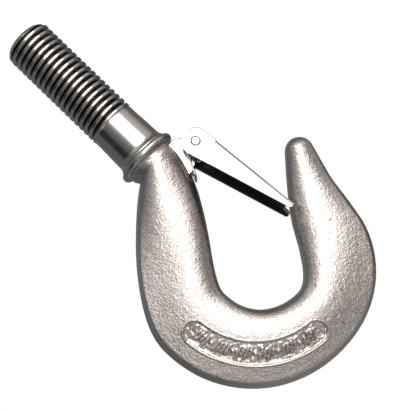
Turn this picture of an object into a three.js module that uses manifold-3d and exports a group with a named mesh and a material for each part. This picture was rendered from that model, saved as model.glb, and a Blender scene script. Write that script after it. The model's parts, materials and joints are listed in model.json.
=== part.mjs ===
import * as THREE from 'three';
import { mergeVertices } from 'three/addons/utils/BufferGeometryUtils.js';
import Module from 'manifold-3d';

// Threaded-shank lifting hook with a spring safety latch, in stainless steel.
// Units are millimetres. Z runs up the shank (the load line), X points to the
// hook tip and Y runs across the section. The origin lies on the shank's axis
// at the top of the collar.

const wasm = await Module();
wasm.setup();
const { Manifold, Mesh } = wasm;

// ---- driving dimensions -------------------------------------------------
const THREAD_D = 19.05;        // 3/4 inch coarse thread
const THREAD_ROOT_D = 16.3;
const PITCH = 2.54;
const SHANK_TOP = 62.5;        // end of the shank above the collar
const THREAD_START = 14.7;     // thread runs from here to the end
const SHANK_D = 18.64;         // plain part of the shank, under the thread
const SHANK_FOOT_D = 19.34;    // and where it widens into the collar
const COLLAR_D = 24;
const COLLAR_DEPTH = 6;
const NECK_R = 9.7;            // round neck under the collar

// The hook's side outline: places the inner and outer edges run through, with
// the direction of travel there in degrees from +X, from the collar to the tip.
const joint = (x, z, heading) => ({ x, z, heading });
const INNER_NECK = joint(9.6, -6.6, 270);
const INNER_BACK = joint(-16.35, -58.3, 270);
const INNER_BOTTOM = joint(2.2, -77.15, 0);
const INNER_FRONT = joint(17.65, -61.45, 60.6);
const OUTER_NECK = joint(-8.55, -8.0, 211.7);
const OUTER_BACK = joint(-46.3, -57.5, 270);
const OUTER_BOTTOM = joint(-0.6, -103.05, 0);
const OUTER_FRONT = joint(39.1, -73.9, 78.3);
const TIP = new THREE.Vector2(41.15, -41.35);  // centre of the rounded tip
const TIP_R = 5.55;
const TIP_AIM = 59.5;          // direction the tip points in, degrees from +X
const TIP_SPREAD = 13;         // each side of the tip flares by this angle
const NECK_HALF_T = 9.7;       // half thickness at the neck
const BODY_HALF_T = 9.4;       // half thickness at the bowl
const TIP_HALF_T = 6.2;        // half thickness at the tip

// Half of the section, from the inner edge over one face to the outer edge, as
// shares of the half width and half thickness: thick at the bowl, then a long
// slope down to a narrow flat rim.
const FACE = [
  [-1, 0], [-0.99, 0.36], [-0.93, 0.65], [-0.81, 0.84], [-0.6, 0.96], [-0.33, 1], [-0.1, 0.98], [0.19, 0.91],
  [0.52, 0.81], [0.78, 0.73], [0.86, 0.7], [0.89, 0.65], [0.92, 0.44], [0.97, 0.2], [1, 0],
];

// Recessed panel on each face: a bent slot about its own centre.
const PANEL_CENTRE = new THREE.Vector2(0.13, -57.55);
const PANEL_R = [30.4, 38.6];
const PANEL_MID = 224.7;       // middle of the panel, degrees from +X
const PANEL_HALF = 38.7;       // half of its length, degrees
const PANEL_DEPTH = [0.5, 1];  // along its inner side and along its outer side

const PIVOT = new THREE.Vector2(15.4, -13.0);  // latch rivet
const LUG_HALF_T = 4.0;
const LUG_R = 3.5;
const PIN_R = 1.9;
const PIN_NECK_R = 1.3;
const HEAD_R = 2.1;
const GAP = 0.3;               // clearance between neighbouring pieces

const LATCH_HALF_W = 10.2;
const LATCH_T = 1.3;
const EAR_R = 5.1;
const LATCH_TIP = new THREE.Vector2(22.7, -53.3);
const LATCH_TIP_R = 1.15;
const WEB_START = 5.4;         // where the web begins, below the pivot
const WEB_END = 39.2;          // where its middle ends, short of the hook's point
const NOTCH_HALF_W = 7.4;      // half width of the part that ends there
const BEND_R = 1.6;

const WIRE_R = 0.4;
const COIL_R = 3.9;
const COIL_TURNS = 3;
const COIL_IN = 4.9;           // wire centre next to the lug
const COIL_PITCH = 0.92;
const BAIL = new THREE.Vector2(6.95, -21.5);   // cross bar resting on the neck

// ---- small helpers ------------------------------------------------------
const DEG = Math.PI / 180;

function toManifold(geometry) {
  const g = geometry.clone();
  g.deleteAttribute('normal');
  g.deleteAttribute('uv');
  const m = mergeVertices(g, 1e-4);
  const corners = [];
  for (let i = 0; i < m.index.count; i += 3) {
    const [a, b, c] = [m.index.getX(i), m.index.getX(i + 1), m.index.getX(i + 2)];
    if (a !== b && b !== c && c !== a) {
      corners.push(a, b, c);
    }
  }
  const mesh = new Mesh({
    numProp: 3,
    vertProperties: new Float32Array(m.attributes.position.array),
    triVerts: new Uint32Array(corners),
  });
  mesh.merge();
  return new Manifold(mesh);
}

function toGeometry(solid) {
  const mesh = solid.getMesh();
  const g = new THREE.BufferGeometry();
  g.setAttribute('position', new THREE.BufferAttribute(new Float32Array(mesh.vertProperties), 3));
  g.setIndex(new THREE.BufferAttribute(new Uint32Array(mesh.triVerts), 1));
  g.computeVertexNormals();
  return g;
}

// A lathe turned about the Z axis.
function turned(points, segments) {
  const g = new THREE.LatheGeometry(points, segments);
  g.rotateX(Math.PI / 2);
  return toManifold(g);
}

// A flat outline in X and Z, made into a plate that spans y0 to y1.
function plate(shape, y0, y1, curveSegments = 20) {
  const g = new THREE.ExtrudeGeometry(shape, { depth: y1 - y0, bevelEnabled: false, curveSegments });
  g.rotateX(Math.PI / 2);
  g.translate(0, y1, 0);
  return toManifold(g);
}

// Closed skin over rows of points; every row has the same number of points.
function skin(rows) {
  const n = rows[0].length;
  const positions = rows.flat().flatMap((p) => [p.x, p.y, p.z]);
  const first = new THREE.Vector3();
  rows[0].forEach((p) => first.addScaledVector(p, 1 / n));
  const last = new THREE.Vector3();
  rows[rows.length - 1].forEach((p) => last.addScaledVector(p, 1 / n));
  positions.push(first.x, first.y, first.z, last.x, last.y, last.z);
  const index = [];
  for (let i = 0; i < rows.length - 1; i += 1) {
    for (let j = 0; j < n; j += 1) {
      const a = i * n + j;
      const b = i * n + ((j + 1) % n);
      index.push(a, b, b + n, a, b + n, a + n);
    }
  }
  const f = rows.length * n;
  for (let j = 0; j < n; j += 1) {
    const k = (rows.length - 1) * n;
    index.push(f, (j + 1) % n, j);
    index.push(f + 1, k + j, k + ((j + 1) % n));
  }
  const g = new THREE.BufferGeometry();
  g.setAttribute('position', new THREE.Float32BufferAttribute(positions, 3));
  g.setIndex(index);
  const solid = toManifold(g);
  return solid.volume() > 0 ? solid : toManifold(flipped(g));
}

function flipped(g) {
  const copy = g.clone();
  const a = copy.index.array;
  for (let i = 0; i < a.length; i += 3) {
    const t = a[i];
    a[i] = a[i + 1];
    a[i + 1] = t;
  }
  return copy;
}

// ---- threaded shank and collar ------------------------------------------
// The helical surface: each row of points climbs one pitch per turn.
function threadedRod() {
  const around = 24;
  const root = THREAD_ROOT_D / 2;
  const crest = THREAD_D / 2;
  const steps = [[0, root], [0.32, crest], [0.68, crest]];
  const start = THREAD_START - 2 * PITCH;
  const turns = Math.ceil((SHANK_TOP - start) / PITCH) + 1;
  const positions = [];
  const rows = turns * steps.length;
  for (let k = 0; k <= rows; k += 1) {
    const [frac, r] = steps[k % steps.length];
    const z = start + (Math.floor(k / steps.length) + frac) * PITCH;
    for (let j = 0; j <= around; j += 1) {
      const a = (j / around) * 2 * Math.PI;
      positions.push(r * Math.cos(a), r * Math.sin(a), z + (j / around) * PITCH);
    }
  }
  const n = around + 1;
  const index = [];
  for (let k = 0; k < rows; k += 1) {
    for (let j = 0; j < around; j += 1) {
      const a = k * n + j;
      index.push(a, a + 1, a + n + 1, a, a + n + 1, a + n);
    }
  }
  const low = positions.length / 3;
  positions.push(0, 0, start + PITCH / 2, 0, 0, start + (turns + 0.5) * PITCH);
  for (let j = 0; j < around; j += 1) {
    index.push(low, j + 1, j);
    index.push(low + 1, rows * n + j, rows * n + j + 1);
  }
  for (let k = 0; k < steps.length; k += 1) {
    index.push(low, k * n, (k + 1) * n);
    index.push(low + 1, (rows - k) * n + around, (rows - k - 1) * n + around);
  }
  const g = new THREE.BufferGeometry();
  g.setAttribute('position', new THREE.Float32BufferAttribute(positions, 3));
  g.setIndex(index);
  const solid = toManifold(g);
  return solid;
}

function shank() {
  const r = THREAD_D / 2;
  const envelope = turned([
    new THREE.Vector2(0, THREAD_START - 0.5),
    new THREE.Vector2(SHANK_D / 2 - 0.6, THREAD_START - 0.5),
    new THREE.Vector2(r + 0.2, THREAD_START + 0.6),
    new THREE.Vector2(r + 0.1, SHANK_TOP - 2.6),
    new THREE.Vector2(r - 0.5, SHANK_TOP - 1.5),
    new THREE.Vector2(r - 1.8, SHANK_TOP - 0.3),
    new THREE.Vector2(r - 2.6, SHANK_TOP),
    new THREE.Vector2(0, SHANK_TOP),
  ], 40);
  const plain = new THREE.Path();
  plain.moveTo(0, -14);
  plain.lineTo(NECK_R * 0.6, -13);
  plain.lineTo(NECK_R - 1.2, -8.2);
  plain.lineTo(NECK_R, -6.7);
  const bead = COLLAR_D / 2;
  const foot = SHANK_FOOT_D / 2;
  plain.lineTo(NECK_R, 0.2 - COLLAR_DEPTH);
  plain.quadraticCurveTo(NECK_R + 0.1, 1.4 - COLLAR_DEPTH, bead - 1.4, 1.55 - COLLAR_DEPTH);
  plain.quadraticCurveTo(bead, 1.7 - COLLAR_DEPTH, bead, -2.85);
  plain.quadraticCurveTo(bead, -1.6, bead - 1.15, -1.5);
  plain.lineTo(bead - 1.4, -1.35);
  plain.lineTo(bead - 1.35, -1.05);
  plain.quadraticCurveTo(foot + 0.2, 0.1, foot, 1.2);
  plain.lineTo(foot - 0.1, 6);
  plain.lineTo(SHANK_D / 2, 12);
  plain.lineTo(SHANK_D / 2, THREAD_START);
  plain.lineTo(SHANK_D / 2 - 0.8, THREAD_START + 0.8);
  plain.lineTo(0, THREAD_START + 0.8);
  const body = turned(plain.getPoints(4), 40);
  return threadedRod().intersect(envelope).add(body);
}

// ---- hook blade ---------------------------------------------------------
// A curve that leaves one joint and arrives at the next along their headings.
function bend(a, reachA, b, reachB) {
  const from = new THREE.Vector2(a.x, a.z);
  const to = new THREE.Vector2(b.x, b.z);
  const ahead = (q) => new THREE.Vector2(Math.cos(q.heading * DEG), Math.sin(q.heading * DEG));
  return new THREE.CubicBezierCurve(
    from,
    from.clone().addScaledVector(ahead(a), reachA),
    to.clone().addScaledVector(ahead(b), -reachB),
    to,
  );
}

// Inner and outer edges as matching stretches: back, bottom, front and point.
function edges() {
  const { inner, outer } = tipFrame();
  const tipIn = joint(inner.x, inner.y, TIP_AIM - TIP_SPREAD);
  const tipOut = joint(outer.x, outer.y, TIP_AIM + TIP_SPREAD);
  return {
    inner: [
      bend(INNER_NECK, 20.8, INNER_BACK, 8.0),
      bend(INNER_BACK, 15.9, INNER_BOTTOM, 5.4),
      bend(INNER_BOTTOM, 5.3, INNER_FRONT, 13.2),
      bend(INNER_FRONT, 8.9, tipIn, 9.1),
    ],
    outer: [
      bend(OUTER_NECK, 10.0, OUTER_BACK, 18.3),
      bend(OUTER_BACK, 26.5, OUTER_BOTTOM, 25.0),
      bend(OUTER_BOTTOM, 24.8, OUTER_FRONT, 11.9),
      bend(OUTER_FRONT, 20.3, tipOut, 22.4),
    ],
    counts: [16, 13, 13, 9],
  };
}

// The rounded tip: its two directions and where the inner and outer edges meet it.
function tipFrame() {
  const f = TIP_SPREAD * DEG;
  const ahead = new THREE.Vector2(Math.cos(TIP_AIM * DEG), Math.sin(TIP_AIM * DEG));
  const side = new THREE.Vector2(ahead.y, -ahead.x);
  const base = TIP.clone().addScaledVector(ahead, TIP_R * Math.sin(f));
  const reach = TIP_R * Math.cos(f);
  const inner = base.clone().addScaledVector(side, -reach);
  const outer = base.clone().addScaledVector(side, reach);
  return { ahead, side, inner, outer };
}

const mix = (a, b, t) => a + (b - a) * t;
const ease = (t) => {
  const c = Math.min(1, Math.max(0, t));
  return c * c * (3 - 2 * c);
};

// Half thickness and shape of the section; t runs 0 to 4 along the hook. Shape 0
// is an ellipse and 1 the full section of the bowl.
function sectionAt(t) {
  let half = mix(NECK_HALF_T, BODY_HALF_T, ease(t));
  if (t > 2) {
    half = mix(BODY_HALF_T, TIP_HALF_T, ease((t - 2) / 2));
  }
  const shape = t < 2 ? ease(t / 0.7) : 1 - 0.72 * ease(t - 2.4);
  return { half, shape };
}

const OUTLINE = [...FACE, ...FACE.slice(1, -1).reverse().map(([x, y]) => [x, -y])].reverse();

function sectionRow(a, b, s) {
  const centre = a.clone().add(b).multiplyScalar(0.5);
  const dir = b.clone().sub(a).normalize();
  const w = a.distanceTo(b) / 2;
  return OUTLINE.map(([px, py]) => {
    const f = Math.atan2(py, px);
    const x = mix(Math.cos(f), px, s.shape);
    const y = mix(Math.sin(f), py, s.shape);
    return new THREE.Vector3(centre.x + dir.x * w * x, y * s.half, centre.y + dir.y * w * x);
  });
}

function blade() {
  const { inner, outer, counts } = edges();
  const rows = [];
  inner.forEach((curve, k) => {
    for (let i = k === 0 ? 0 : 1; i <= counts[k]; i += 1) {
      const u = i / counts[k];
      rows.push(sectionRow(curve.getPointAt(u), outer[k].getPointAt(u), sectionAt(k + u)));
    }
  });
  // The tip closes as a rounded cap.
  const s = sectionAt(4);
  const { side, ahead } = tipFrame();
  for (let i = 1; i <= 6; i += 1) {
    const f = mix(TIP_SPREAD, 86, i / 6) * DEG;
    const c = TIP.clone().addScaledVector(ahead, TIP_R * Math.sin(f));
    const r = TIP_R * Math.cos(f);
    const half = (s.half * Math.cos(f)) / Math.cos(TIP_SPREAD * DEG);
    const cap = { half, shape: s.shape * Math.cos(f) };
    rows.push(sectionRow(c.clone().addScaledVector(side, -r), c.clone().addScaledVector(side, r), cap));
  }
  return skin(rows);
}

// Racetrack-shaped recess that follows the slope of the face.
function panelCut() {
  const [near, far] = PANEL_R;
  const mid = (near + far) / 2;
  const end = (far - near) / 2;
  const from = (PANEL_MID - PANEL_HALF) * DEG;
  const to = (PANEL_MID + PANEL_HALF) * DEG;
  const c = PANEL_CENTRE;
  const shape = new THREE.Shape();
  shape.absarc(c.x, c.y, far, from, to, false);
  shape.absarc(c.x + mid * Math.cos(to), c.y + mid * Math.sin(to), end, to, to + Math.PI, false);
  shape.absarc(c.x, c.y, near, to, from, true);
  shape.absarc(c.x + mid * Math.cos(from), c.y + mid * Math.sin(from), end,
    from + Math.PI, from + 2 * Math.PI, false);
  // Height of the panel's floor at a distance from its centre, along its middle.
  const { inner, outer } = edges();
  const p = inner[1].getPointAt(0.5);
  const across = outer[1].getPointAt(0.5).sub(p);
  const floor = (r) => {
    const at = new THREE.Vector2(Math.cos(PANEL_MID * DEG), Math.sin(PANEL_MID * DEG)).multiplyScalar(r).add(c);
    const x = (2 * at.sub(p).dot(across)) / across.lengthSq() - 1;
    const k = FACE.findIndex((q) => q[0] > x);
    const [u, v] = [FACE[k - 1], FACE[k]];
    const y = mix(u[1], v[1], (x - u[0]) / (v[0] - u[0]));
    return y * BODY_HALF_T - mix(...PANEL_DEPTH, ease((r - near) / (far - near)));
  };
  const profile = [new THREE.Vector2(near - 1, floor(near - 1))];
  for (let i = 0; i <= 3; i += 1) {
    const r = mix(near - 0.5, far + 0.5, i / 3);
    profile.push(new THREE.Vector2(r, floor(r)));
  }
  profile.push(new THREE.Vector2(far + 1, 14));
  profile.push(new THREE.Vector2(near - 1, 14));
  profile.push(profile[0].clone());
  const ring = new THREE.LatheGeometry(profile, 54);
  ring.translate(c.x, 0, c.y);
  const back = toManifold(ring).intersect(plate(shape, 0, 16, 18));
  return back.add(back.mirror([0, 1, 0]));
}

function lug() {
  const shape = new THREE.Shape();
  shape.moveTo(5, -5.6);
  shape.lineTo(11.2, -5.5);
  shape.lineTo(PIVOT.x + LUG_R * Math.cos(42 * DEG), PIVOT.y + LUG_R * Math.sin(42 * DEG));
  shape.absarc(PIVOT.x, PIVOT.y, LUG_R, 42 * DEG, -118 * DEG, true);
  shape.quadraticCurveTo(10, -18.2, 7.2, -19.4);
  shape.lineTo(5, -19.4);
  shape.closePath();
  const hole = new THREE.Path();
  hole.absarc(PIVOT.x, PIVOT.y, PIN_R + GAP, 0, 2 * Math.PI, false);
  shape.holes.push(hole);
  return plate(shape, -LUG_HALF_T, LUG_HALF_T);
}

function hookBody() {
  return blade().subtract(panelCut()).add(shank()).add(lug());
}

// ---- latch --------------------------------------------------------------
// Side outline: a round ear at the rivet that narrows to the tip.
function latchOutline() {
  const d = LATCH_TIP.clone().sub(PIVOT);
  const base = Math.atan2(d.y, d.x);
  const open = Math.acos((EAR_R - LATCH_TIP_R) / d.length());
  const shape = new THREE.Shape();
  shape.absarc(PIVOT.x, PIVOT.y, EAR_R, base + open, base - open + 2 * Math.PI, false);
  shape.absarc(LATCH_TIP.x, LATCH_TIP.y, LATCH_TIP_R, base - open, base + open, false);
  shape.closePath();
  return { shape, outer: base + open };
}

function latch() {
  const { shape, outer } = latchOutline();
  const reach = 60;
  const full = plate(shape, -LATCH_HALF_W, LATCH_HALF_W);
  const side = plate(shape, LATCH_HALF_W - LATCH_T, LATCH_HALF_W);
  // The channel: web and bends, running down from below the ear.
  const w = LATCH_HALF_W;
  const u = new THREE.Shape();
  u.moveTo(-w, -20);
  u.lineTo(-w, -BEND_R);
  u.absarc(-w + BEND_R, -BEND_R, BEND_R, Math.PI, Math.PI / 2, true);
  u.absarc(w - BEND_R, -BEND_R, BEND_R, Math.PI / 2, 0, true);
  u.lineTo(w, -20);
  u.lineTo(w - LATCH_T, -20);
  u.absarc(w - BEND_R, -BEND_R, BEND_R - LATCH_T, 0, Math.PI / 2, false);
  u.absarc(-w + BEND_R, -BEND_R, BEND_R - LATCH_T, Math.PI / 2, Math.PI, false);
  u.lineTo(-w + LATCH_T, -20);
  u.closePath();
  const bar = new THREE.ExtrudeGeometry(u, { depth: reach, bevelEnabled: false, curveSegments: 6 });
  // Lay the bar down: its width along Y, its length towards the latch tip.
  const out = new THREE.Vector3(Math.cos(outer), 0, Math.sin(outer));
  const along = new THREE.Vector3(out.z, 0, -out.x);
  const across = new THREE.Vector3().crossVectors(out, along);
  const turn = new THREE.Matrix4().makeBasis(across, out, along);
  const origin = new THREE.Vector3(PIVOT.x, 0, PIVOT.y).addScaledVector(out, EAR_R);
  turn.setPosition(origin.clone().addScaledVector(along, WEB_START));
  const notch = new THREE.BoxGeometry(2 * NOTCH_HALF_W, 4 * BEND_R, reach);
  notch.translate(0, 0, WEB_END - WEB_START + reach / 2);
  const channel = toManifold(bar.applyMatrix4(turn))
    .intersect(full)
    .subtract(toManifold(notch.applyMatrix4(turn)));
  const strip = new THREE.BoxGeometry(2 * w + 2, 2 * BEND_R, reach);
  strip.translate(0, 0, reach / 2);
  const flanges = side.add(side.mirror([0, 1, 0])).subtract(toManifold(strip.applyMatrix4(turn)));
  const bore = new THREE.Shape();
  bore.absarc(PIVOT.x, PIVOT.y, PIN_NECK_R + GAP, 0, 2 * Math.PI, false);
  return channel.add(flanges).subtract(plate(bore, -w - 1, w + 1));
}

// ---- rivet --------------------------------------------------------------
// A shouldered pin: thick between the ears, thin through them, domed at each end.
function rivet() {
  const shoulder = LATCH_HALF_W - LATCH_T - GAP;
  const face = LATCH_HALF_W + GAP;
  const half = new THREE.Path();
  half.moveTo(0, 0);
  half.lineTo(PIN_R, 0);
  half.lineTo(PIN_R, shoulder);
  half.lineTo(PIN_NECK_R, shoulder);
  half.lineTo(PIN_NECK_R, face);
  half.lineTo(HEAD_R, face);
  half.quadraticCurveTo(HEAD_R, face + 0.8, 0, face + 0.9);
  const g = new THREE.LatheGeometry(half.getPoints(6), 28);
  g.translate(PIVOT.x, 0, PIVOT.y);
  const one = toManifold(g);
  return one.add(one.mirror([0, 1, 0]));
}

// ---- double torsion spring ----------------------------------------------
class SpringCurve extends THREE.Curve {
  constructor() {
    super();
    const toBail = BAIL.clone().sub(PIVOT);
    this.leave = Math.atan2(toBail.y, toBail.x) - Math.acos(COIL_R / toBail.length()) + 2 * Math.PI;
    this.end = -10 * DEG - 2 * Math.PI * (COIL_TURNS - 1);
    this.points = this.half();
    const other = this.points.map((p) => new THREE.Vector3(p.x, -p.y, p.z)).reverse();
    this.curve = new THREE.CatmullRomCurve3([...other, ...this.points], false, 'centripetal');
  }

  // One half, from the cross bar's middle out to the leg's end inside the channel.
  half() {
    const list = [];
    const y0 = COIL_IN;
    for (let i = 0; i <= 3; i += 1) {
      list.push(new THREE.Vector3(BAIL.x, mix(0.5, y0 - 1.1, i / 3), BAIL.y));
    }
    const on = (a, y) => new THREE.Vector3(
      PIVOT.x + COIL_R * Math.cos(a), y, PIVOT.y + COIL_R * Math.sin(a));
    const start = on(this.leave, y0);
    const bail = new THREE.Vector3(BAIL.x, y0, BAIL.y);
    const up = start.clone().sub(bail).normalize();
    list.push(new THREE.Vector3(BAIL.x, y0 - 0.35, BAIL.y).addScaledVector(up, 0.35));
    for (let i = 1; i <= 5; i += 1) {
      list.push(bail.clone().lerp(start, mix(0.12, 0.96, i / 5)));
    }
    const sweep = this.leave - this.end;
    const count = Math.round(sweep / (18 * DEG));
    for (let i = 0; i <= count; i += 1) {
      const a = this.leave - (sweep * i) / count;
      const turns = (sweep * i) / count / (2 * Math.PI);
      list.push(on(a, y0 + COIL_PITCH * turns));
    }
    const last = list[list.length - 1];
    const down = new THREE.Vector3(Math.sin(this.end), 0, -Math.cos(this.end));
    for (let i = 1; i <= 5; i += 1) {
      list.push(last.clone().addScaledVector(down, i * 1.7));
    }
    const foot = list[list.length - 1];
    list.push(foot.clone().add(new THREE.Vector3(0.35, 0, -1.1)));
    list.push(foot.clone().add(new THREE.Vector3(1.1, 0, -1.9)));
    return list;
  }

  getPoint(t, target = new THREE.Vector3()) {
    return target.copy(this.curve.getPoint(t));
  }
}

function spring() {
  const path = new SpringCurve();
  const section = new THREE.Shape();
  section.absarc(0, 0, WIRE_R, 0, 2 * Math.PI, false);
  const steps = path.curve.points.length - 1;
  const g = new THREE.ExtrudeGeometry(section, { steps, curveSegments: 8, extrudePath: path.curve });
  return toManifold(g);
}

// ---- the part -----------------------------------------------------------
const group = new THREE.Group();
group.name = 'hook_with_latch';

function piece(name, solid, colour, roughness) {
  const material = new THREE.MeshStandardMaterial({ color: colour, metalness: 1, roughness });
  material.name = `${name}_steel`;
  const mesh = new THREE.Mesh(toGeometry(solid), material);
  mesh.name = name;
  group.add(mesh);
}

piece('hook_body', hookBody(), 0xb3aba5, 0.45);
piece('latch', latch(), 0xd5d7d9, 0.15);
piece('latch_rivet', rivet(), 0xc8c9ca, 0.25);
piece('latch_spring', spring(), 0xbfc0c2, 0.3);

export default group;
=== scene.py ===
import json
import math

import bmesh
import bpy
import numpy as np
from mathutils import Matrix, Vector

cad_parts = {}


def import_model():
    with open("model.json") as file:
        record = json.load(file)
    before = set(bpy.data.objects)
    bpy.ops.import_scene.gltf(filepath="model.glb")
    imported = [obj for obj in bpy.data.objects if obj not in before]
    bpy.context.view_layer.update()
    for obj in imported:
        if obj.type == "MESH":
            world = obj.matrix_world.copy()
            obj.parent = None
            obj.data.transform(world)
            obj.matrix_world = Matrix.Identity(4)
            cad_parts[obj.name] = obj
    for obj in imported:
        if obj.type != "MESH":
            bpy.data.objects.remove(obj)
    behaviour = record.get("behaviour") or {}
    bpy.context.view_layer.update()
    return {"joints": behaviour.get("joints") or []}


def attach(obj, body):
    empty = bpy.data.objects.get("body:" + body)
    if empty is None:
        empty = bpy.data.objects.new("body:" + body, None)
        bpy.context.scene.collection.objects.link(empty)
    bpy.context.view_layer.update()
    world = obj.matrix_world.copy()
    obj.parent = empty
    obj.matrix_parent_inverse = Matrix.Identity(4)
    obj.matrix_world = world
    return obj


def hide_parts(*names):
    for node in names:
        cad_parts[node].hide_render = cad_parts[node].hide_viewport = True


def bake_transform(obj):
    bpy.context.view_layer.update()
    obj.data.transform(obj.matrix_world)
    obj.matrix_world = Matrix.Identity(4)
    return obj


# A lifting hook with a threaded shank and a spring latch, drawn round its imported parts.
# Sizes are in millimetres in the frame of the CAD: Z runs up the shank, X points to the
# hook's tip and Y runs across the section. Points of the side outline are (x, z).

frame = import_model()

MM = 0.001
DEG = math.pi / 180
TURN = 2 * math.pi

# ---------------------------------------------------------------- dimensions (mm)
# Shank, thread and collar.
THREAD_R = 9.6          # at the crest
THREAD_ROOT = 7.95
PITCH = 2.54
CREST_FLAT = 0.3        # share of half a pitch that the crest takes
FLANK = 0.66            # and the flank below it
SHANK_TOP = 62.5
THREAD_START = 14.7
SHANK_R = 9.42          # plain part, under the thread
COLLAR_R = 11.95
PROFILE_STEP = 0.13     # between rings of points down the shank
CAST_TOP = -4.3         # the cast surface starts here, under the collar

# Unevenness of the casting: height and size of each layer of noise.
GRAIN = [(0.018, 2.6), (0.02, 1.3), (0.026, 0.75)]
WAVE = (0.05, 9.0)
MOTTLE = (0.17, 0.85)   # only in the panel

# Joints of the two edges of the body, from the neck towards the tip: x, z and the heading
# there in degrees. The reaches are how strongly each stretch between two joints holds the
# heading at its start and at its end.
INNER = [(9.6, -6.6, 270), (-16.35, -58.3, 270), (2.2, -77.15, 0), (17.65, -61.45, 60.6)]
OUTER = [(-8.55, -8.0, 211.7), (-46.1, -57.5, 270), (-0.6, -102.85, 0), (39.0, -73.9, 78.3)]
INNER_REACH = [(20.8, 8.0), (15.9, 5.4), (5.3, 13.2), (8.9, 9.1)]
OUTER_REACH = [(10.0, 18.3), (26.5, 25.0), (24.8, 11.9), (20.3, 22.4)]
STRETCH_ROWS = [150, 200, 180, 90]
TIP = np.array([41.15, -41.35])     # centre of the rounded tip
TIP_R = 5.4
TIP_AIM = 59.5          # degrees from +X
TIP_SPREAD = 13.0       # each side tapers in by this angle
TIP_CLOSE = 88.5        # angle round the tip of its last ring
TIP_ROWS = 26
NECK_HALF_T = 9.7
BODY_HALF_T = 9.4
TIP_HALF_T = 6.2

# Recessed panel, a bent slot about its own centre, and the marks in it.
PANEL_CENTRE = np.array([0.13, -57.55])
PANEL_MID_R = 34.5
PANEL_END = 4.1         # half width and radius of the ends
PANEL_MID = 224.7       # degrees from +X
PANEL_HALF = 38.7       # degrees each way
PANEL_DEPTH = 1.0
PANEL_WALL = 0.4        # width of the slope down to the floor
RIM_HEIGHT = 0.22       # of the raised line round the panel
MARK_HEIGHT = 0.88      # share of the depth that the marks rise from the floor
MARK_SLOPE = 0.24
MARKS_FROM = -22.6      # along the panel from its middle
MARKS_TO = 23.4
RIB_STEP = 1.45
PIP_STEP = 1.9
RIB_HALF_W = 0.36
RIB_LEAN = 0.36
RIB_HALF_H = 1.75
PIP_R = 0.75
GROUP = 5               # four ribs and a pip

# Latch, its lug, the rivet and the spring.
hinge = frame["joints"][0]["pos_m"]      # the latch's, the only joint
PIVOT = np.array([hinge[0], hinge[2]]) / MM
LUG_HALF_T = 4.0
LUG_R = 3.5
LATCH_HALF_W = 10.2
LATCH_T = 1.3
EAR_R = 5.1
LATCH_TIP = np.array([22.7, -53.3])
LATCH_TIP_R = 1.15
WEB_START = 5.4
WEB_END = 39.2
WEB_NOTCH = 6.6         # half width of the notch that clears the hook's point
BEND_R = 1.6
HOLE_R = 1.55
HEAD_RING = (1.54, 1.8)     # the ring groove in the rivet's head lies between these radii
WIRE_R = 0.4
COIL_R = 3.9
COIL_TURNS = 3
COIL_IN = 4.9
COIL_PITCH = 0.92
BAIL = np.array([6.95, -21.5])      # the cross bar on the neck


# ---------------------------------------------------------------- small helpers
def mix(a, b, t):
    return a + (b - a) * t


def ease(t):
    """A smooth step from 0 to 1."""
    t = np.clip(t, 0.0, 1.0)
    return t * t * (3 - 2 * t)


def heading(degrees):
    return np.array([math.cos(degrees * DEG), math.sin(degrees * DEG)])


def lengths(points):
    """Length along a line of points, at each of them."""
    return np.concatenate([[0], np.cumsum(np.linalg.norm(np.diff(points, axis=0), axis=1))])


def mesh_object(name, verts, faces, smooth=True):
    mesh = bpy.data.meshes.new(name)
    mesh.from_pydata([tuple(v) for v in np.asarray(verts) * MM], [], faces)
    mesh.update()
    obj = bpy.data.objects.new(name, mesh)
    bpy.context.scene.collection.objects.link(obj)
    bm = bmesh.new()
    bm.from_mesh(mesh)
    bmesh.ops.recalc_face_normals(bm, faces=bm.faces)
    bm.to_mesh(mesh)
    bm.free()
    if smooth:
        mesh.polygons.foreach_set("use_smooth", [True] * len(mesh.polygons))
    return obj


def ring_faces(rings, around):
    """Four-sided faces between neighbouring rings of points."""
    faces = []
    for i in range(rings - 1):
        for j in range(around):
            a, b = i * around + j, i * around + (j + 1) % around
            faces.append((a, b, b + around, a + around))
    return faces


def bend(a, reach_a, b, reach_b):
    """Curve from joint a to joint b, leaving and arriving along their headings."""
    start, stop = np.array(a[:2]), np.array(b[:2])
    pts = [start, start + heading(a[2]) * reach_a, stop - heading(b[2]) * reach_b, stop]

    def curve(t):
        t = np.asarray(t, float)[:, None]
        u = 1 - t
        return u**3 * pts[0] + 3 * u**2 * t * pts[1] + 3 * u * t**2 * pts[2] + t**3 * pts[3]

    return curve


def edge(joints, reaches):
    """The stretches of one edge, from joint to joint."""
    return [bend(a, leave, b, arrive) for a, b, (leave, arrive) in zip(joints, joints[1:], reaches)]


def even(curve, u):
    """Points at equal steps of length along a curve."""
    t = np.linspace(0, 1, 400)
    s = lengths(curve(t))
    return curve(np.interp(np.asarray(u) * s[-1], s, t))


def attribute(obj, name, values):
    """A number at each point of a mesh, for its material to read."""
    att = obj.data.attributes.new(name, "FLOAT", "POINT")
    att.data.foreach_set("value", values.astype(np.float32))


# ---------------------------------------------------------------- the casting
AROUND = 260
ANGLES = np.arange(AROUND) / AROUND * TURN


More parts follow.
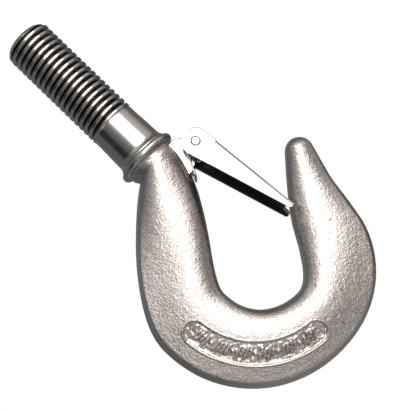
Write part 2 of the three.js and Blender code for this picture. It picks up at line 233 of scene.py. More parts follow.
def body_section():
    """Radius against angle of the body's section: thick near the bowl, a slope to a flat rim."""
    half = [(-1.0, 0.0), (-1.02, 0.34), (-0.93, 0.82), (-0.55, 1.04), (-0.12, 1.02), (0.3, 0.9),
            (0.6, 0.8), (0.82, 0.735), (0.87, 0.715), (0.882, 0.71), (0.887, 0.7), (0.89, 0.685),
            (0.897, 0.64), (0.925, 0.44), (0.97, 0.2), (1.0, 0.07)]
    ctrl = np.array(half + [(x, -y) for x, y in half[::-1] if y > 0])
    n = len(ctrl)
    out = []
    for i in range(n):
        p = [ctrl[(i + k) % n] for k in range(-1, 3)]
        for t in np.linspace(0, 1, 24, endpoint=False):
            w = [(1 - t) ** 3 / 6, (3 * t**3 - 6 * t**2 + 4) / 6,
                 (-3 * t**3 + 3 * t**2 + 3 * t + 1) / 6, t**3 / 6]
            out.append(sum(a * b for a, b in zip(w, p)))
    out = np.array(out)
    lo, hi = out[:, 0].min(), out[:, 0].max()
    out[:, 0] = (out[:, 0] - lo) / (hi - lo) * 2 - 1
    out[:, 1] /= out[:, 1].max()
    a = np.arctan2(out[:, 1], out[:, 0]) % TURN
    order = np.argsort(a)
    return np.interp(ANGLES, a[order], np.hypot(out[:, 0], out[:, 1])[order], period=TURN)


SECTION = body_section()


def blade_rows():
    """Matching points of both edges, their place along the hook (0 to 4), and the tip's closing."""
    f = TIP_SPREAD * DEG
    ahead = heading(TIP_AIM)
    side = np.array([ahead[1], -ahead[0]])
    base = TIP + ahead * TIP_R * math.sin(f)
    across = side * TIP_R * math.cos(f)
    inner = edge([*INNER, (*(base - across), TIP_AIM - TIP_SPREAD)], INNER_REACH)
    outer = edge([*OUTER, (*(base + across), TIP_AIM + TIP_SPREAD)], OUTER_REACH)
    rows = []
    for k, count in enumerate(STRETCH_ROWS):
        u = np.arange(0 if k == 0 else 1, count + 1) / count
        for p, q, t in zip(even(inner[k], u), even(outer[k], u), k + u):
            rows.append((p, q, t, 1.0))
    for a in np.linspace(TIP_SPREAD, TIP_CLOSE, TIP_ROWS)[1:] * DEG:
        c = TIP + ahead * TIP_R * math.sin(a)
        r = TIP_R * math.cos(a)
        rows.append((c - side * r, c + side * r, 4.0, math.cos(a) / math.cos(f)))
    return rows


def blade_points():
    """Rings of the body. The section is round at the neck, full at the bowl, rounder at the tip."""
    out = []
    for p, q, t, closing in blade_rows():
        half = mix(NECK_HALF_T, BODY_HALF_T, ease(t))
        if t > 2:
            half = mix(BODY_HALF_T, TIP_HALF_T, ease((t - 2) / 2))
        full = ease(t / 0.7) if t < 2 else 1 - 0.72 * ease(t - 2.4)
        rho = mix(1.0, SECTION, full * closing)
        centre = (p + q) / 2
        d = (q - p) / np.linalg.norm(q - p)
        w = np.linalg.norm(q - p) / 2
        x = rho * np.cos(ANGLES) * w
        y = rho * np.sin(ANGLES) * half * closing
        out.append(np.stack([centre[0] + d[0] * x, y, centre[1] + d[1] * x], axis=1))
    return out


def shank_profile():
    """Radius and height of the turned part, from the free end down to the neck."""
    r, top, start = THREAD_R, SHANK_TOP, THREAD_START
    end = [(0.02, top), (r - 2.6, top), (r - 1.8, top - 0.3), (r - 0.5, top - 1.5), (r, top - 2.6)]
    plain = [(r, start + 0.9), (SHANK_R - 0.1, start), (SHANK_R - 0.1, 12), (SHANK_R + 0.15, 6),
             (SHANK_R + 0.25, 1.2)]
    collar = [(9.8, 0.5), (10.05, -0.1), (10.4, -0.6), (10.65, -1.05), (10.6, -1.35), (10.85, -1.5),
              (11.3, -1.62), (11.65, -1.9), (11.88, -2.3), (COLLAR_R, -2.85), (11.88, -3.4),
              (11.6, -3.9), (11.1, -4.25), (10.4, -4.45), (9.95, -4.6), (9.8, -5.1), (9.72, -5.8),
              (9.68, -6.2)]
    p = np.array(end + plain + collar)
    s = lengths(p)
    u = np.arange(0, s[-1], PROFILE_STEP)
    return np.stack([np.interp(u, s, p[:, 0]), np.interp(u, s, p[:, 1])], axis=1)


def thread_shape(phase):
    """Height of the thread form over one pitch: rounded crest, narrow groove."""
    x = np.abs((phase % 1.0) - 0.5) * 2
    return 1 - ease((x - CREST_FLAT) / FLANK) ** 0.9


def shank_points():
    """Rings of the shank and collar, and how deep in the thread's groove each point lies, which the
    machined material paints as shade.
    """
    rings, groove = [], []
    for r, z in shank_profile():
        radius = np.full(AROUND, r)
        g = np.zeros(AROUND)
        if z > THREAD_START - 1.0 and r > 1.0:
            form = thread_shape(z / PITCH - (math.pi - ANGLES) / TURN)
            fade = ease((z - THREAD_START + 0.3) / 1.8)
            cut = (THREAD_R - THREAD_ROOT) * (1 - form) * fade
            radius = np.minimum(radius, THREAD_R - cut)
            g = (1 - form) * fade * ease((r - THREAD_ROOT) / 0.8)
        x, y = -np.cos(ANGLES) * radius, np.sin(ANGLES) * radius
        rings.append(np.stack([x, y, np.full(AROUND, z)], axis=1))
        groove.append(g)
    return rings, groove


def smooth_noise(p, scale, seed):
    """Value noise on points, in -1..1."""
    q = p / scale + seed * 17.3
    cell = np.floor(q).astype(np.int64)
    f = q - cell
    f = f * f * (3 - 2 * f)

    def corner(dx, dy, dz):
        h = (cell[:, 0] + dx) * 374761393 + (cell[:, 1] + dy) * 668265263
        h = h + (cell[:, 2] + dz) * 2147483647
        h = (h ^ (h >> 13)) * 1274126177
        h = h ^ (h >> 16)
        return (h & 0xFFFF) / 32767.5 - 1.0

    total = 0
    for dx in (0, 1):
        wx = f[:, 0] if dx else 1 - f[:, 0]
        for dy in (0, 1):
            wy = f[:, 1] if dy else 1 - f[:, 1]
            for dz in (0, 1):
                wz = f[:, 2] if dz else 1 - f[:, 2]
                total = total + wx * wy * wz * corner(dx, dy, dz)
    return total


def panel_marks(a, b):
    """Distance to the generic raised ornament: a row of leaning ribs, parted here and there by a pip."""
    mark = np.full(len(a), 9.0)
    at = MARKS_FROM
    i = 0
    while at < MARKS_TO:
        if i % GROUP == GROUP - 1:
            shape = np.hypot(a - at, b) - PIP_R
        else:
            tall = RIB_HALF_H + 0.55 * math.sin(2.7 * i)
            shape = np.maximum(np.abs(a - at + RIB_LEAN * b) - RIB_HALF_W, np.abs(b) - tall)
        mark = np.minimum(mark, shape)
        at += PIP_STEP if i % GROUP >= GROUP - 2 else RIB_STEP
        i += 1
    return mark


def panel_relief(points, sign):
    """Height of the recessed panel and its marks on one face, and a line along the foot of each mark, for
    painted shade.
    """
    x = points[:, 0] - PANEL_CENTRE[0]
    z = points[:, 2] - PANEL_CENTRE[1]
    a = (np.degrees(np.arctan2(z, x)) % 360 - PANEL_MID) * DEG * PANEL_MID_R
    b = np.hypot(x, z) - PANEL_MID_R
    past_end = np.maximum(np.abs(a) - PANEL_HALF * DEG * PANEL_MID_R, 0)
    d = np.hypot(past_end, b) - PANEL_END
    shelf = mix(0.5, 1.0, ease((b + 3.0) / 5.0))
    depth = ease(-d / PANEL_WALL) * shelf
    rim = np.exp(-((d - 0.1) / 0.3) ** 2) * RIM_HEIGHT * shelf
    mark = panel_marks(a, b)
    inside = d < -0.8
    raised = ease(0.5 - mark / MARK_SLOPE) * inside
    height = -PANEL_DEPTH * depth + MARK_HEIGHT * PANEL_DEPTH * raised * depth + rim
    foot = np.exp(-((mark - 0.16) / 0.13) ** 2) * inside
    near = points[:, 1] * sign > 3.5
    return height * near, foot * near


def casting():
    """Shank, collar, neck and body as one closed skin, with its cast surface and panels."""
    shank, groove = shank_points()
    blade = blade_points()
    grid = np.concatenate([np.array(shank), np.array(blade)])
    groove = np.concatenate([np.array(groove), np.zeros((len(blade), AROUND))])
    p = grid.reshape(-1, 3)
    du = np.gradient(grid, axis=0)
    dv = np.roll(grid, -1, axis=1) - np.roll(grid, 1, axis=1)
    normal = np.cross(dv, du).reshape(-1, 3)
    normal = normal / np.maximum(np.linalg.norm(normal, axis=1, keepdims=True), 1e-9)
    body = p[:, 2] < -20
    if (normal[body, 1] * np.sign(p[body, 1])).mean() < 0:
        normal = -normal
    cast = ease((CAST_TOP - p[:, 2]) / 0.6)
    rough = sum(high * smooth_noise(p, size, seed) for seed, (high, size) in enumerate(GRAIN, 1))
    wave = WAVE[0] * smooth_noise(p, WAVE[1], 4)
    (near, near_foot_shade), (far, far_foot_shade) = panel_relief(p, -1), panel_relief(p, 1)
    relief = near + far
    mottle = MOTTLE[0] * smooth_noise(p, MOTTLE[1], 5) * np.clip(-relief / 0.5, 0, 1)
    p = p + normal * ((rough + wave) * cast + relief + mottle)[:, None]
    faces = ring_faces(len(grid), AROUND)
    top, end = len(p), len(p) + 1
    last = len(p) - AROUND
    p = np.vstack([p, [[0, 0, SHANK_TOP]], grid[-1].mean(axis=0)[None] + [[0.05, 0, 0.09]]])
    for j in range(AROUND):
        m = (j + 1) % AROUND
        faces.append((top, m, j))
        faces.append((end, last + j, last + m))
    obj = mesh_object("hook_casting", p, faces)
    caps = [0, 0]
    # How deep each point lies in the thread's groove, which the machined material paints as shade.
    attribute(obj, "groove", np.concatenate([groove.reshape(-1), caps]))
    # How deep each point lies in the panel, which the cast material paints as light.
    attribute(obj, "recess", np.concatenate([np.clip(-relief, 0, 1), caps]))
    # Lines along the foot of the marks, which the cast material paints as shade.
    attribute(obj, "foot", np.concatenate([near_foot_shade + far_foot_shade, caps]))
    z = np.array([np.mean([p[i][2] for i in f]) for f in faces])
    obj.data.polygons.foreach_set("material_index", (z < CAST_TOP - 0.05).astype(np.int32))
    return obj


def lug(materials):
    """The plate under the collar that carries the rivet, with rounded edges."""
    pts = [(6.0, -5.6), (11.2, -5.5)]
    for a in np.linspace(42, -118, 26):
        pts.append(tuple(PIVOT + heading(a) * LUG_R))
    p0, p1, p2 = np.array(pts[-1]), np.array([10.2, -18.0]), np.array([7.4, -19.2])
    for t in np.linspace(0, 1, 10)[1:]:
        u = 1 - t
        pts.append(tuple(u * u * p0 + 2 * u * t * p1 + t * t * p2))
    pts.append((5.5, -19.2))
    n = len(pts)
    verts = [(x, -LUG_HALF_T, z) for x, z in pts] + [(x, LUG_HALF_T, z) for x, z in pts]
    faces = [tuple(range(n)), tuple(range(2 * n - 1, n - 1, -1))]
    faces += [(i, (i + 1) % n, n + (i + 1) % n, n + i) for i in range(n)]
    obj = mesh_object("latch_lug", verts, faces, smooth=False)
    add_materials(obj, materials)
    # The rounded edges take the second material, a near-black painted shade.
    bevel(obj, 0.4, slot=1)
    return obj


def add_materials(obj, materials):
    """Materials go on before the modifiers, which would otherwise lose their slots."""
    for mat in materials:
        obj.data.materials.append(mat)


def bevel(obj, width, slot):
    """Rounds the sharp edges, in the material of the given slot."""
    mod = obj.modifiers.new("edge", "BEVEL")
    mod.material = slot
    mod.width = width * MM
    mod.segments = 2
    mod.limit_method = "ANGLE"
    mod.angle_limit = 35 * DEG
    mod.harden_normals = False
    obj.data.polygons.foreach_set("use_smooth", [True] * len(obj.data.polygons))
    mod = obj.modifiers.new("normals", "WEIGHTED_NORMAL")
    mod.keep_sharp = True


def apply_modifiers(obj):
    deps = bpy.context.evaluated_depsgraph_get()
    mesh = bpy.data.meshes.new_from_object(obj.evaluated_get(deps))
    obj.modifiers.clear()
    obj.data = mesh


# ---------------------------------------------------------------- the latch
def latch_frame():
    """Directions out through the web, along it to the tip, and square to the lower edge."""
    d = LATCH_TIP - PIVOT
    base = math.atan2(d[1], d[0])
    spread = math.acos((EAR_R - LATCH_TIP_R) / np.linalg.norm(d))
    up = base + spread
    out = np.array([math.cos(up), math.sin(up)])
    along = np.array([math.sin(up), -math.cos(up)])
    if np.dot(along, d) < 0:
        along = -along
    low = base - spread
    return out, along, np.array([math.cos(low), math.sin(low)])


def latch(materials):
    """One bent sheet. s runs from the rivet towards the tip, h is the depth below the web."""
    out, along, low = latch_frame()
    tip = LATCH_TIP - PIVOT
    s_tip = np.dot(tip, along)
    h_tip = EAR_R - np.dot(tip, out)
    low_s, low_h = np.dot(low, along), -np.dot(low, out)
    side_points = 14
    bend_steps = 8
    web_steps = 20
    w = LATCH_HALF_W
    verts, faces = [], []

    def lower(s):
        """Depth of the side plate's lower edge: round ear, straight run, round tip."""
        s0 = EAR_R * low_s
        s1 = s_tip + LATCH_TIP_R * low_s
        if s < s0:
            return EAR_R + math.sqrt(max(EAR_R**2 - s * s, 0))
        if s > s1:
            return h_tip + math.sqrt(max(LATCH_TIP_R**2 - (s - s_tip) ** 2, 0))
        k = (s - s0) / (s1 - s0)
        return mix(EAR_R + EAR_R * low_h, h_tip + LATCH_TIP_R * low_h, k)

    def upper(s):
        """Depth of the ear's upper edge, behind the rivet."""
        return EAR_R - math.sqrt(max(EAR_R**2 - s * s, 0)) if s < 0 else 0.0

    def point(s, h, y):
        p = PIVOT + along * s + out * (EAR_R - h)
        verts.append((p[0], y, p[1]))
        return len(verts) - 1

    def strip(a, b):
        """Faces between two lines of points."""
        for j in range(len(a) - 1):
            faces.append((a[j], b[j], b[j + 1], a[j + 1]))

    s_ear = [-EAR_R * math.cos(t) for t in np.linspace(0.02, math.pi / 2, 14)]
    s_ear += list(np.linspace(0, WEB_START, 6)[1:])
    s_bar = [WEB_START] + list(np.linspace(WEB_START, s_tip - 1.0, 44)[1:])
    s_bar += [s_tip + LATCH_TIP_R * math.sin(t) for t in np.linspace(-0.3, 1.45, 8)]
    s_last = s_bar[-1]

    def back(s, y):
        """The web stops short in the middle, where the hook's point lies between the side plates."""
        end = mix(WEB_END, s_last, ease((abs(y) - WEB_NOTCH) / BEND_R))
        return WEB_START + (s - WEB_START) * (end - WEB_START) / (s_last - WEB_START)

    # The ears, ahead of the web: each column of points joins the last one on its side.
    joining = {}
    for side in (-1, 1):
        column = None
        for i, s in enumerate(s_ear):
            lo = lower(s)
            t = i / (len(s_ear) - 1)
            if t == 1:
                hs = [0, BEND_R * 0.5] + list(np.linspace(BEND_R, lo, side_points - 2))
            else:
                top = upper(s)
                base = mix(top + (lo - top) * 0.2, BEND_R, ease(t))
                hs = [top, mix(top, base, 0.5)] + list(np.linspace(base, lo, side_points - 2))
            before, column = column, [point(s, h, side * w) for h in hs]
            if before:
                strip(before, column)
        joining[side] = column[2:][::-1]
    # The channel: up one side plate, round the bend, across the web and down the other side.
    row = None
    for s in s_bar:
        lo = max(lower(s), BEND_R + 0.02)
        halves = []
        for side in (-1, 1):
            half = joining.pop(side, None)
            if half is None:
                half = [point(s, h, side * w) for h in np.linspace(lo, BEND_R, side_points - 2)]
            for k in range(1, bend_steps + 1):
                a = k / bend_steps * math.pi / 2
                y = w - BEND_R + BEND_R * math.cos(a)
                half.append(point(back(s, y), BEND_R - BEND_R * math.sin(a), side * y))
            halves.append(half)
        middle = np.linspace(BEND_R - w, w - BEND_R, web_steps + 1)[1:-1]
        web = [point(back(s, y), 0, y) for y in middle]
        before, row = row, halves[0] + web + halves[1][::-1]
        if before:
            strip(before, row)
    obj = mesh_object("latch_plate", verts, faces)
    add_materials(obj, materials)
    mod = obj.modifiers.new("sheet", "SOLIDIFY")
    mod.thickness = LATCH_T * MM
    mod.offset = -1
    # The inner faces of the sheet take the next material, a near-black painted shade.
    mod.material_offset = 1
    mod.use_even_offset = True
    # The sheet thickens towards the inside of the channel.
    poly = max(obj.data.polygons, key=lambda f: f.center.y)
    if poly.normal.y < 0:
        obj.data.flip_normals()
    cutter = lathe("cutter", [(0, -14), (HOLE_R, -14), (HOLE_R, 14), (0, 14)], 48)
    hole = obj.modifiers.new("hole", "BOOLEAN")
    hole.object = cutter
    hole.solver = "EXACT"
    # The rounded edges take the third material, a near-black painted shade.
    bevel(obj, 0.3, slot=2)
    apply_modifiers(obj)
    bpy.data.objects.remove(cutter)
    return obj


def lathe(name, profile, around):
    """A turned piece about the rivet's axis; profile is (radius, y)."""
    verts = []
    for r, y in profile:
        for j in range(around):
            a = j / around * TURN
            x, z = PIVOT + np.array([math.cos(a), math.sin(a)]) * max(r, 1e-3)
            verts.append((x, y, z))
    faces = ring_faces(len(profile), around)
    last = (len(profile) - 1) * around
    faces.append(tuple(range(around)))
    faces.append(tuple(last + j for j in reversed(range(around))))
    return mesh_object(name, verts, faces)


def rivet():
    """Shouldered pin, headed at both ends, with a shallow ring struck in each head."""
    shoulder = LATCH_HALF_W - LATCH_T - 0.15
    face = LATCH_HALF_W + 0.05
    half = [(1.7, 0.0), (1.7, shoulder - 0.2), (1.6, shoulder), (1.4, shoulder), (1.4, face),
            (2.0, face), (2.06, face + 0.08), (2.06, face + 0.34), (2.0, face + 0.42),
            (1.86, face + 0.44), (1.79, face + 0.4), (1.77, face + 0.06), (1.56, face + 0.06),
            (1.54, face + 0.36), (1.46, face + 0.46)]
    half += [(r, face + 0.48 + 0.08 * (1 - (r / 1.4) ** 2)) for r in np.linspace(1.35, 0.02, 7)]
    profile = [(r, -y) for r, y in half[::-1]] + half[1:]
    return lathe("rivet_pin", profile, 64)


# ---------------------------------------------------------------- the spring
def spring_path():
    """Double torsion spring: cross bar on the neck, a coil each side of the lug, legs on the latch."""
    to = BAIL - PIVOT
    leave = math.atan2(to[1], to[0]) - math.acos(COIL_R / np.linalg.norm(to)) + TURN
    end = -10 * DEG - TURN * (COIL_TURNS - 1)

    def on(a, y):
        return np.array([PIVOT[0] + COIL_R * math.cos(a), y, PIVOT[1] + COIL_R * math.sin(a)])

    # Half of the cross bar, its corner, and the leg up to the coil.
    start = on(leave, COIL_IN)
    foot = np.array([BAIL[0], COIL_IN, BAIL[1]])
    up = (start - foot) / np.linalg.norm(start - foot)
    pts = [np.array([BAIL[0], y, BAIL[1]]) for y in np.linspace(0, COIL_IN - 1.0, 8)]
    for t in np.linspace(0, math.pi / 2, 7)[1:]:
        pts.append(foot + np.array([0, -1.0 + math.sin(t), 0]) + up * (1 - math.cos(t)))
    first = pts[-1]
    for t in np.linspace(0, 1, 24)[1:-1]:
        pts.append(mix(first, start, t))
    # The coil.
    sweep = leave - end
    count = int(sweep / (7 * DEG))
    for i in range(count + 1):
        turned = sweep * i / count
        pts.append(on(leave - turned, COIL_IN + COIL_PITCH * turned / TURN))
    # The leg along the latch, curled a little at its end.
    last = pts[-1]
    down = np.array([math.sin(end), 0, -math.cos(end)])
    pts += [last + down * i * 0.5 for i in range(1, 18)]
    aim = math.atan2(down[2], down[0])
    p = pts[-1]
    for _ in range(10):
        aim += 0.085
        p = p + np.array([math.cos(aim), 0, math.sin(aim)]) * 0.24
        pts.append(p)
    half = np.array(pts)
    other = half[1:] * [1, -1, 1]
    return np.vstack([other[::-1], half])


def tube(name, path, radius, around=14):
    """Round wire along a path, with slightly domed ends."""
    d = np.gradient(path, axis=0)
    d /= np.linalg.norm(d, axis=1, keepdims=True)
    normal = np.cross(d[0], [0, 1, 0.3])
    normal /= np.linalg.norm(normal)
    verts = []
    for centre, ahead in zip(path, d):
        normal = normal - ahead * np.dot(normal, ahead)
        normal /= np.linalg.norm(normal)
        b = np.cross(ahead, normal)
        for j in range(around):
            a = j / around * TURN
            verts.append(centre + (normal * math.cos(a) + b * math.sin(a)) * radius)
    faces = ring_faces(len(path), around)
    for k, way in ((0, -1), (len(path) - 1, 1)):
        ring = [k * around + j for j in range(around)]
        tip = len(verts)
        verts.append(path[k] + d[k] * way * radius * 0.35)
        for j in range(around):
            faces.append((ring[j], ring[(j + 1) % around], tip))
    return mesh_object(name, verts, faces)


# ---------------------------------------------------------------- material helpers
WHITE = (1, 1, 1)


def grey(v):
    return (v, v, v)


def material(name, base, rough, metallic=1.0):
    mat = bpy.data.materials.new(name)
    mat.use_nodes = True
    shader = mat.node_tree.nodes["Principled BSDF"]
    shader.inputs["Base Color"].default_value = (*base, 1)
    shader.inputs["Roughness"].default_value = rough
    shader.inputs["Metallic"].default_value = metallic
    return mat, mat.node_tree, shader


def node(tree, kind, **values):
    """A new node, with its inputs and settings by name."""
    n = tree.nodes.new(kind)
    for key, value in values.items():
        if key in n.inputs:
            n.inputs[key].default_value = value
        else:
            setattr(n, key, value)
    return n


def feed(tree, value, socket):
    """Links an output to a socket, or sets the socket to a number or colour."""
    if hasattr(value, "links"):
        tree.links.new(value, socket)
    elif isinstance(value, tuple):
        socket.default_value = (*value, 1)
    else:
        socket.default_value = value


def object_coord(tree):
    return node(tree, "ShaderNodeTexCoord").outputs["Object"]


def stretched(tree, scale):
    """Object coordinates scaled along each axis."""
    n = node(tree, "ShaderNodeMapping", Scale=scale)
    tree.links.new(object_coord(tree), n.inputs["Vector"])
    return n.outputs["Vector"]


def painted(tree, name):
    """A number that the mesh carries at each point."""
    return node(tree, "ShaderNodeAttribute", attribute_name=name).outputs["Fac"]


def noise(tree, coord, scale, detail, rough=0.55):
    n = node(tree, "ShaderNodeTexNoise", Scale=scale, Detail=detail, Roughness=rough)
    tree.links.new(coord, n.inputs["Vector"])
    return n.outputs["Fac"]


def ramp(tree, source, stops):
    """Colour against a value, from stops of (value, colour)."""
    n = tree.nodes.new("ShaderNodeValToRGB")
    tree.links.new(source, n.inputs["Fac"])
    elements = n.color_ramp.elements
    while len(elements) < len(stops):
        elements.new(0.5)
    for element, (position, colour) in zip(elements, stops):
        element.position = position
        element.color = (*colour, 1)
    return n.outputs["Color"]


def multiply(tree, a, b, clamp=False):
    n = node(tree, "ShaderNodeMixRGB", blend_type="MULTIPLY", use_clamp=clamp, Fac=1.0)
    tree.links.new(a, n.inputs[1])
    tree.links.new(b, n.inputs[2])
    return n.outputs[0]


def blend(tree, mask, below, above):
    """below where the mask is 0, above where it is 1."""
    n = node(tree, "ShaderNodeMixRGB", blend_type="MIX")
    tree.links.new(mask, n.inputs["Fac"])
    feed(tree, below, n.inputs[1])
    feed(tree, above, n.inputs[2])
    return n.outputs[0]


def fade(tree, value, start, stop, kind="SMOOTHSTEP"):
    """0 at start and 1 at stop."""
    n = node(tree, "ShaderNodeMapRange", interpolation_type=kind)
    n.inputs["From Min"].default_value = start
    n.inputs["From Max"].default_value = stop
    tree.links.new(value, n.inputs["Value"])
    return n.outputs["Result"]


def dot(tree, vector, direction):
    n = node(tree, "ShaderNodeVectorMath", operation="DOT_PRODUCT")
    tree.links.new(vector, n.inputs[0])
    n.inputs[1].default_value = direction
    return n.outputs["Value"]


def bump(tree, height, strength, distance, normal=None):
    n = node(tree, "ShaderNodeBump", Strength=strength, Distance=distance)
    tree.links.new(height, n.inputs["Height"])
    if normal:
        tree.links.new(normal, n.inputs["Normal"])
    return n.outputs["Normal"]


# ---------------------------------------------------------------- materials
def cast_material():
    """Satin casting with a fine grain and a few pits, painted light brightening the panel, and painted
    shade in dark lines round its marks.
    """
    mat, tree, shader = material("cast_stainless", (0.6, 0.56, 0.54), 0.4)
    link = tree.links.new
    coord = object_coord(tree)
    grain = noise(tree, coord, 1350, 4, 0.62)
    cells = node(tree, "ShaderNodeTexVoronoi", Scale=1500)
    link(coord, cells.inputs["Vector"])
    tone = ramp(tree, grain, [(0.3, (0.565, 0.508, 0.48)), (0.52, (0.745, 0.688, 0.656)),
                              (0.75, (0.905, 0.862, 0.84))])
    patch = ramp(tree, noise(tree, coord, 55, 3), [(0.35, (0.93, 0.91, 0.9)), (0.7, WHITE)])
    # Painted light: the panel's floor is made brighter than the cast face round it.
    panel = ramp(tree, painted(tree, "recess"), [(0.0, WHITE), (0.4, grey(1.25))])
    pits = ramp(tree, noise(tree, coord, 330, 1), [(0.72, WHITE), (0.78, (0.45, 0.42, 0.4))])
    # Painted shade: dark lines along the foot of each mark in the panel.
    foot = ramp(tree, painted(tree, "foot"), [(0.2, WHITE), (0.9, (0.4, 0.37, 0.35))])
    tone = multiply(tree, tone, patch)
    tone = multiply(tree, tone, panel, clamp=True)
    tone = multiply(tree, tone, pits)
    tone = multiply(tree, tone, foot)
    link(tone, shader.inputs["Base Color"])
    rough = ramp(tree, noise(tree, coord, 2400, 2), [(0.3, grey(0.28)), (0.7, grey(0.43))])
    link(rough, shader.inputs["Roughness"])
    normal = bump(tree, grain, 0.46, 0.0002)
    normal = bump(tree, cells.outputs["Distance"], 0.34, 0.00013, normal)
    link(normal, shader.inputs["Normal"])
    return mat


def machined_material():
    """Turned steel: fine lines round the shank, and painted shade darkening the groove between the thread's
    crests.
    """
    mat, tree, shader = material("machined_stainless", (0.74, 0.71, 0.69), 0.2)
    link = tree.links.new
    lines = noise(tree, stretched(tree, (60, 60, 5200)), 1.0, 3)
    # Painted shade: the deeper a point lies in the thread's groove, the darker it is, down to near black.
    tone = ramp(tree, painted(tree, "groove"), [(0.35, (0.76, 0.72, 0.69)), (0.75, (0.22, 0.2, 0.19)),
                                                (1.0, (0.06, 0.054, 0.052))])
    vary = ramp(tree, lines, [(0.35, grey(0.9)), (0.65, grey(1.0))])
    link(multiply(tree, tone, vary), shader.inputs["Base Color"])
    # The thread is rolled smooth; the plain part is turned and a little duller.
    height = node(tree, "ShaderNodeSeparateXYZ")
    link(object_coord(tree), height.inputs[0])
    duller = fade(tree, height.outputs["Z"], (THREAD_START + 1.0) * MM, (THREAD_START - 1.0) * MM, "LINEAR")
    rolled = ramp(tree, lines, [(0.3, grey(0.15)), (0.7, grey(0.22))])
    turned = ramp(tree, lines, [(0.3, grey(0.19)), (0.7, grey(0.26))])
    link(blend(tree, duller, rolled, turned), shader.inputs["Roughness"])
    link(bump(tree, lines, 0.25, 0.00005), shader.inputs["Normal"])
    return mat


def polished_material(name, base, low, high, scale):
    """Bright metal with fine marks; its roughness runs from low to high, and scale gives the marks' run."""
    mat, tree, shader = material(name, base, (low + high) / 2)
    link = tree.links.new
    lines = noise(tree, stretched(tree, scale), 1.0, 4)
    blot = noise(tree, object_coord(tree), 160, 3)
    tone = ramp(tree, blot, [(0.3, tuple(c * 0.95 for c in base)), (0.7, base)])
    link(tone, shader.inputs["Base Color"])
    link(ramp(tree, lines, [(0.3, grey(low)), (0.7, grey(high))]), shader.inputs["Roughness"])
    link(bump(tree, lines, 0.12, 0.00003), shader.inputs["Normal"])
    return mat


def shade_ear_edge(mat):
    """Painted shade: a thin dark line where the ear's cut edge is rounded over, down to the start of the
    web.
    """
    tree = mat.node_tree
    shader = tree.nodes["Principled BSDF"]
    out, along, _ = latch_frame()
    local = node(tree, "ShaderNodeVectorMath", operation="SUBTRACT")
    tree.links.new(object_coord(tree), local.inputs[0])
    local.inputs[1].default_value = (PIVOT[0] * MM, 0, PIVOT[1] * MM)

    def part(direction):
        """Millimetres from the rivet along a direction."""
        return dot(tree, local.outputs[0], (direction[0] / MM, 0, direction[1] / MM))

    def calc(operation, a, b=0.0):
        n = node(tree, "ShaderNodeMath", operation=operation)
        feed(tree, a, n.inputs[0])
        feed(tree, b, n.inputs[1])
        return n.outputs[0]

    s = part(along)
    h = part(out)
    behind = calc("MINIMUM", s)
    r = calc("SQRT", calc("ADD", calc("MULTIPLY", behind, behind), calc("MULTIPLY", h, h)))
    line = fade(tree, r, EAR_R - 0.42, EAR_R - 0.2)
    line = calc("MULTIPLY", line, fade(tree, h, 0.3, 2.2))
    before_web = calc("SUBTRACT", 1.0, fade(tree, s, WEB_START - 0.3, WEB_START + 0.1))
    line = calc("MULTIPLY", line, before_web)
    bright = shader.inputs["Base Color"].links[0].from_socket
    tree.links.new(blend(tree, line, bright, (0.1, 0.09, 0.085)), shader.inputs["Base Color"])


def dulled_for_shade(mat):
    """Turns a metal dull and non-metallic, keeping its colour, for the near-black painted shade."""
    shader = mat.node_tree.nodes["Principled BSDF"]
    shader.inputs["Metallic"].default_value = 0.0
    shader.inputs["Specular IOR Level"].default_value = 0.2


# ---------------------------------------------------------------- building
CAST = cast_material()
MACHINED = machined_material()
POLISHED = polished_material("latch_polish", (0.9, 0.9, 0.895), 0.08, 0.16, (2600, 900, 160))
shade_ear_edge(POLISHED)
# Painted shade: the inside of the latch's channel and the ring in each rivet head, near black and dull.
INSIDE_SHADE = polished_material("latch_inside_shade", (0.035, 0.031, 0.03), 0.45, 0.6, (700, 700, 200))
dulled_for_shade(INSIDE_SHADE)
# Painted shade: near black on the rounded edges of the latch and the lug.
EDGE_SHADE = polished_material("edge_shade", (0.1, 0.095, 0.092), 0.2, 0.35, (1200, 1200, 1200))
RIVET = polished_material("rivet_bright", (0.86, 0.86, 0.85), 0.12, 0.22, (1500, 1500, 1500))
WIRE = polished_material("spring_wire", (0.72, 0.71, 0.7), 0.14, 0.26, (900, 900, 900))

hook = casting()
add_materials(hook, [MACHINED, CAST])
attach(hook, "hook")
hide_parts("hook_body")

plate_lug = lug([RIVET, EDGE_SHADE])
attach(plate_lug, "hook")
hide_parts("hook_body")

sheet = latch([POLISHED, INSIDE_SHADE, EDGE_SHADE])
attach(sheet, "latch")
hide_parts("latch")

pin = rivet()
add_materials(pin, [RIVET, INSIDE_SHADE])
# The ring groove in each rivet head takes the near-black painted shade.
for poly in pin.data.polygons:
    off = math.hypot(poly.center.x / MM - PIVOT[0], poly.center.z / MM - PIVOT[1])
    in_ring = HEAD_RING[0] < off < HEAD_RING[1] and abs(poly.center.y) / MM > LATCH_HALF_W
    poly.material_index = int(in_ring)
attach(pin, "hook")
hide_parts("latch_rivet")

coil = tube("torsion_spring", spring_path(), WIRE_R)
add_materials(coil, [WIRE])
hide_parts("latch_spring")
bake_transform(coil)


# ---------------------------------------------------------------- floor
def floor(half, z):
    """Plain pale paper far below the hook; both sizes in metres."""
    mesh = bpy.data.meshes.new("studio_floor")
    corners = [(-half, -half, z), (half, -half, z), (half, half, z), (-half, half, z)]
    mesh.from_pydata(corners, [], [(0, 1, 2, 3)])
    obj = bpy.data.objects.new("studio_floor", mesh)
    bpy.context.scene.collection.objects.link(obj)
    mat, tree, shader = material("floor_paper", (0.7, 0.7, 0.7), 0.9, 0.0)
    glow = node(tree, "ShaderNodeLightPath")
    tree.links.new(glow.outputs["Is Camera Ray"], shader.inputs["Emission Strength"])
    shader.inputs["Emission Color"].default_value = (0.45, 0.45, 0.45, 1)
    mesh.materials.append(mat)


floor(0.9, -0.6)

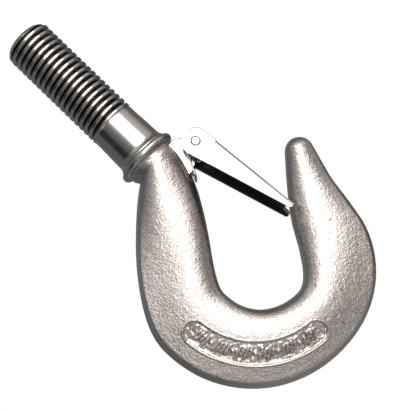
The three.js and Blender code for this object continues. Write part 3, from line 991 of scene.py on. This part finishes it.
# ---------------------------------------------------------------- camera and light
# The camera stands on the -Y side and looks along +Y, tilted a little from square to the hook's
# plane. The picture is turned in that plane, so its right and up are given in the hook's frame.
PICTURE_RIGHT = Vector((0.70043, 0, -0.71373))
PICTURE_UP = Vector((0.71373, 0, 0.70043))
TOWARD = Vector((0, -1, 0))
TILT = 11.0 * DEG
DISTANCE = 0.4404                       # metres
AIM = Vector((0.00196, 0, -0.0299))     # metres
SENSOR = 36.0
FOCAL_LENGTH = SENSOR * 1200.0 / 406.0  # 1200 where the photo is 406 wide

axis = (TOWARD * math.cos(TILT) - PICTURE_UP * math.sin(TILT)).normalized()
right = PICTURE_RIGHT.normalized()
up = axis.cross(right).normalized()


def aimed(u, v):
    """World direction at angles to the camera's right and up, in degrees, seen from the hook."""
    a, b = u * DEG, v * DEG
    n = math.hypot(a, b)
    d = (right * a + up * b) / n
    return tuple((axis * math.cos(n) + d * math.sin(n)).normalized())


# Soft light, painted on a dim sky patch over patch: colour, direction, and the angles from it
# at which the patch starts to fade and is gone.
SKY = (0.114, 0.133, 0.141)
PATCHES = [
    ((0.05, 0.045, 0.042), aimed(112, -22), 28, 52),    # shade on the right
    ((0.195, 0.222, 0.236), (0, 0.9, 0.436), 8, 40),    # from behind and above
    ((0.5, 0.47, 0.45), aimed(8, -32), 12, 38),         # from below
    ((0.26, 0.247, 0.24), aimed(4, -8), 8, 36),         # round the camera
    ((0.56, 0.535, 0.515), aimed(-37, 42), 12, 39),     # upper left
    ((0.56, 0.50, 0.48), aimed(36, 58), 6, 50),         # upper right
    ((0.02, 0.018, 0.016), aimed(-53, -35), 13, 25),    # shade at the lower left
    ((3.8, 3.76, 3.72), aimed(10, 32), 17, 35),         # the main light
    ((0.13, 0.12, 0.115), aimed(50, 6), 32, 47),        # shade that cuts its right side
]


def world():
    """Reflections see the painted sky, and the camera sees plain white."""
    studio = bpy.data.worlds.new("studio")
    bpy.context.scene.world = studio
    studio.use_nodes = True
    tree = studio.node_tree
    link = tree.links.new
    tree.nodes.clear()
    coord = node(tree, "ShaderNodeTexCoord").outputs["Generated"]
    sky = SKY
    for colour, direction, inner, outer in PATCHES:
        mask = fade(tree, dot(tree, coord, direction), math.cos(outer * DEG), math.cos(inner * DEG))
        sky = blend(tree, mask, sky, colour)
    light = tree.nodes.new("ShaderNodeBackground")
    link(sky, light.inputs["Color"])
    seen = tree.nodes.new("ShaderNodeBackground")
    seen.inputs["Color"].default_value = (*WHITE, 1)
    path = tree.nodes.new("ShaderNodeLightPath")
    mixer = tree.nodes.new("ShaderNodeMixShader")
    link(path.outputs["Is Camera Ray"], mixer.inputs["Fac"])
    link(light.outputs[0], mixer.inputs[1])
    link(seen.outputs[0], mixer.inputs[2])
    link(mixer.outputs[0], tree.nodes.new("ShaderNodeOutputWorld").inputs["Surface"])


def camera():
    lens = bpy.data.cameras.new("camera")
    obj = bpy.data.objects.new("camera", lens)
    bpy.context.scene.collection.objects.link(obj)
    turned = Matrix(((right.x, up.x, axis.x), (right.y, up.y, axis.y), (right.z, up.z, axis.z)))
    obj.matrix_world = Matrix.Translation(AIM + axis * DISTANCE) @ turned.to_4x4()
    lens.sensor_fit = "HORIZONTAL"
    lens.sensor_width = SENSOR
    lens.lens = FOCAL_LENGTH
    lens.clip_start = 0.01
    lens.clip_end = 20
    return obj


world()
bpy.context.scene.camera = camera()
bpy.context.scene.view_settings.view_transform = "Standard"
bpy.context.scene.view_settings.look = "None"
